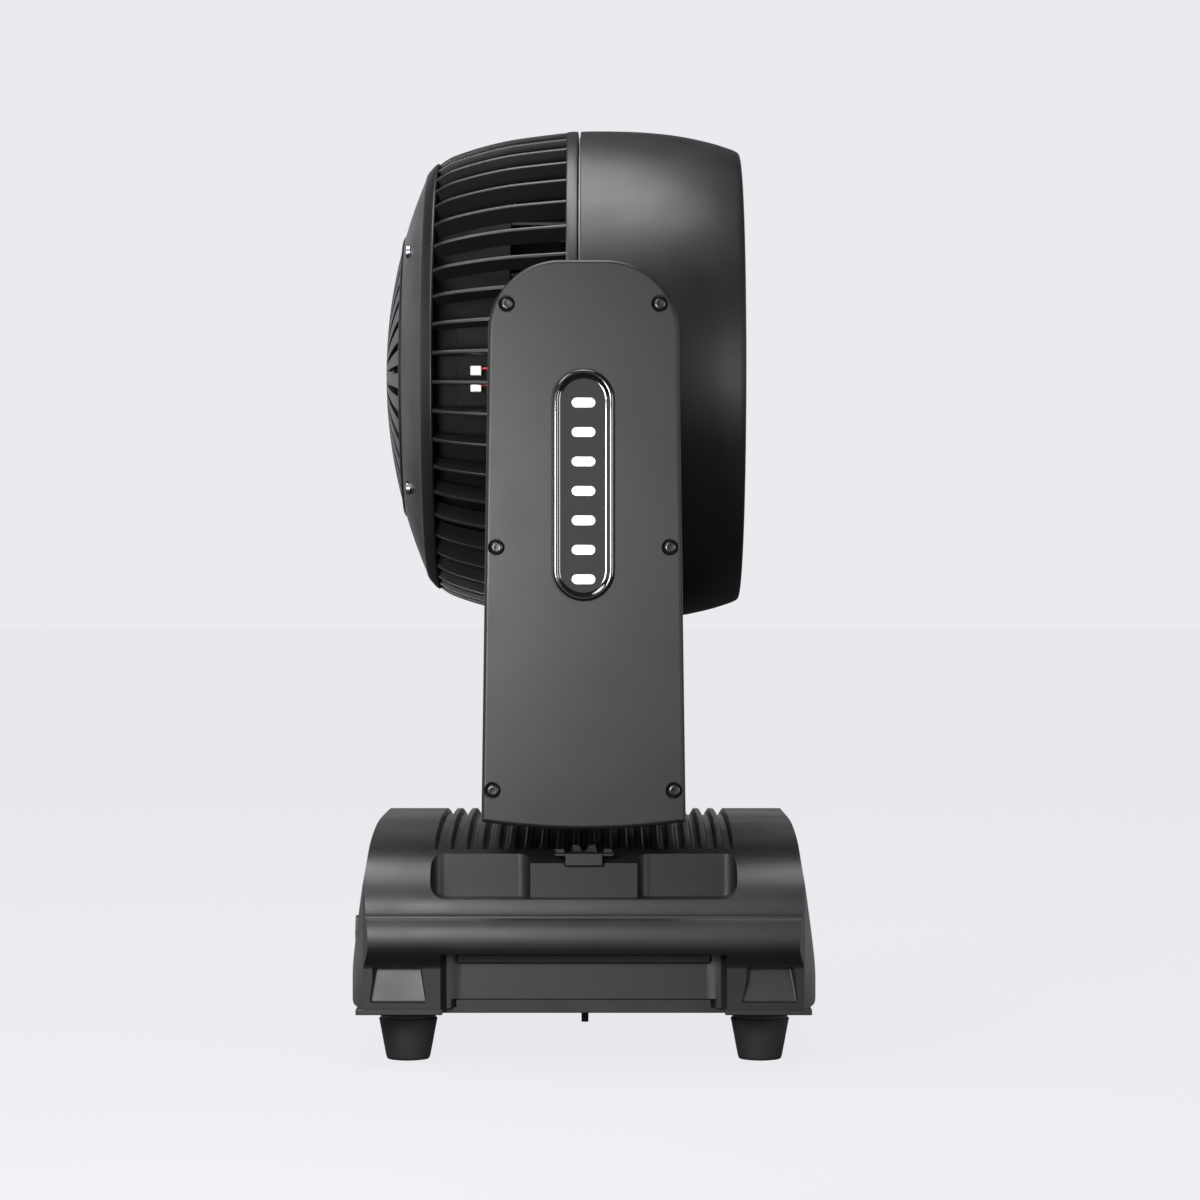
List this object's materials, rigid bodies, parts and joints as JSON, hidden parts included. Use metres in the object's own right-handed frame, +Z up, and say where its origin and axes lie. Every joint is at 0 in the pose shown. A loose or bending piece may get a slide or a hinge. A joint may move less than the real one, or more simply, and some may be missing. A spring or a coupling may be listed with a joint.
{
  "type": "moving head light",
  "caption": "Motorised stage wash light: a drum head with a lens array and ribbed rear cage tilts in a two-armed yoke that pans on a low base with hand recesses.",
  "frame": {"origin": "on the floor, at the centre of the footprint, under the pan axis", "axes": "+Z up along the pan axis; +X is the way the lenses face at rest; the tilt axis and the yoke arms run along Y"},
  "size_m": [0.251, 0.3944, 0.516],
  "materials": {
    "moulding": "fine satin texture",
    "cage": "fine satin texture",
    "black_steel": "satin powder coat",
    "bare_steel": "brushed",
    "case": "folded sheet",
    "zinc": "zinc plated",
    "dark_screw": "black oxide",
    "cast": "cast",
    "fins": "black anodised",
    "rubber": "matt",
    "belt": "matt",
    "gloss_black": "gloss",
    "window": "clear over dark",
    "lens": "clear",
    "nylon": "satin",
    "board": "solder mask",
    "key": "silicone",
    "connector": "satin",
    "inlet": "satin",
    "brass": "turned"
  },
  "bodies": {
    "base": {"base_tray": "black_steel", "base_cover": "moulding", "feet": "rubber", "display_panel": "black_steel", "connector_panel": "black_steel", "display_window": "window", "display_board": "board", "power_inlet": "inlet", "dmx_in": "connector", "dmx_out": "connector", "fuse_holder": "connector", "power_supply": "case", "control_board": "board", "pan_carrier": "bare_steel", "pan_post": "cast", "pan_wheel": "nylon"},
    "yoke": {"yoke_plate": "cast", "arm_plates": "bare_steel", "left_outer_casing": "moulding", "right_outer_casing": "moulding", "left_inner_casing": "moulding", "right_inner_casing": "moulding", "bridge_cover": "moulding", "badges": "gloss_black", "casing_screws": "dark_screw", "pan_bearing": "bare_steel", "tilt_bearings": "bare_steel", "pan_motor": "black_steel", "tilt_motor": "black_steel", "pan_belt": "belt", "tilt_belt": "belt"},
    "head": {"front_shell": "moulding", "rear_cage": "cage", "rear_cap": "cage", "cap_screws": "zinc", "front_bezel": "gloss_black", "head_frame": "cast", "tilt_shafts": "bare_steel", "tilt_wheel": "nylon", "heat_sink": "fins", "led_board": "board", "light_guides": "lens", "zoom_motors": "bare_steel", "zoom_guides": "zinc", "fan_frame": "connector", "head_board": "board"},
    "zoom_carriage": {"lens_carrier": "black_steel", "lens_array": "lens"},
    "zoom_lead_1": {"zoom_screw_1": "brass"},
    "zoom_lead_2": {"zoom_screw_2": "brass"},
    "head_fan": {"fan_rotor": "connector"},
    "pan_drive": {"pan_pinion": "brass"},
    "tilt_drive": {"tilt_pinion": "brass"},
    "lock_slide": {"pan_lock": "connector"},
    "menu_key": {"menu_button": "key"},
    "up_key": {"up_button": "key"},
    "down_key": {"down_button": "key"},
    "enter_key": {"enter_button": "key"},
    "release_tab": {"dmx_release_tab": "nylon"}
  },
  "joints": [
    {"name": "pan", "type": "hinge", "parent": "base", "child": "yoke", "pos_m": [0, 0, 0.131], "axis": [0, 0, 1], "range_deg": [-270, 270]},
    {"name": "tilt", "type": "hinge", "parent": "yoke", "child": "head", "pos_m": [0, 0, 0.376], "axis": [0, 1, 0], "range_deg": [-222.5, 42.5]},
    {"name": "pan_pinion_spin", "type": "hinge", "parent": "yoke", "child": "pan_drive", "pos_m": [0, 0.092, 0.15], "axis": [0, 0, 1], "range_deg": [-1620, 1620]},
    {"name": "tilt_pinion_spin", "type": "hinge", "parent": "yoke", "child": "tilt_drive", "pos_m": [0, -0.18, 0.24], "axis": [0, 1, 0], "range_deg": [-1335, 255]},
    {"name": "zoom", "type": "slide", "parent": "head", "child": "zoom_carriage", "axis": [1, 0, 0], "range_m": [0, 0.016]},
    {"name": "zoom_screw_1_spin", "type": "hinge", "parent": "head", "child": "zoom_lead_1", "pos_m": [0.05, 0.09353, 0.43], "axis": [1, 0, 0], "range_deg": [0, 720]},
    {"name": "zoom_screw_2_spin", "type": "hinge", "parent": "head", "child": "zoom_lead_2", "pos_m": [0.05, -0.09353, 0.322], "axis": [1, 0, 0], "range_deg": [0, 720]},
    {"name": "fan_spin", "type": "hinge", "parent": "head", "child": "head_fan", "pos_m": [-0.052, 0, 0.376], "axis": [1, 0, 0], "continuous": true},
    {"name": "pan_lock_slide", "type": "slide", "parent": "base", "child": "lock_slide", "axis": [0, 1, 0], "range_m": [0, 0.007]},
    {"name": "menu_press", "type": "slide", "parent": "base", "child": "menu_key", "axis": [-1, 0, 0], "range_m": [0, 0.001], "stiffness_N_per_m": 900, "springref_m": -0.0005},
    {"name": "up_press", "type": "slide", "parent": "base", "child": "up_key", "axis": [-1, 0, 0], "range_m": [0, 0.001], "stiffness_N_per_m": 900, "springref_m": -0.0005},
    {"name": "down_press", "type": "slide", "parent": "base", "child": "down_key", "axis": [-1, 0, 0], "range_m": [0, 0.001], "stiffness_N_per_m": 900, "springref_m": -0.0005},
    {"name": "enter_press", "type": "slide", "parent": "base", "child": "enter_key", "axis": [-1, 0, 0], "range_m": [0, 0.001], "stiffness_N_per_m": 900, "springref_m": -0.0005},
    {"name": "release_press", "type": "slide", "parent": "base", "child": "release_tab", "axis": [1, 0, 0], "range_m": [0, 0.001], "stiffness_N_per_m": 900, "springref_m": -0.0005}
  ],
  "couplings": [
    {"joint": "pan_pinion_spin", "follows": "pan", "ratio": -6},
    {"joint": "tilt_pinion_spin", "follows": "tilt", "ratio": 6},
    {"joint": "zoom_screw_1_spin", "follows": "zoom", "rad_per_m": 785.4},
    {"joint": "zoom_screw_2_spin", "follows": "zoom", "rad_per_m": 785.4}
  ]
}
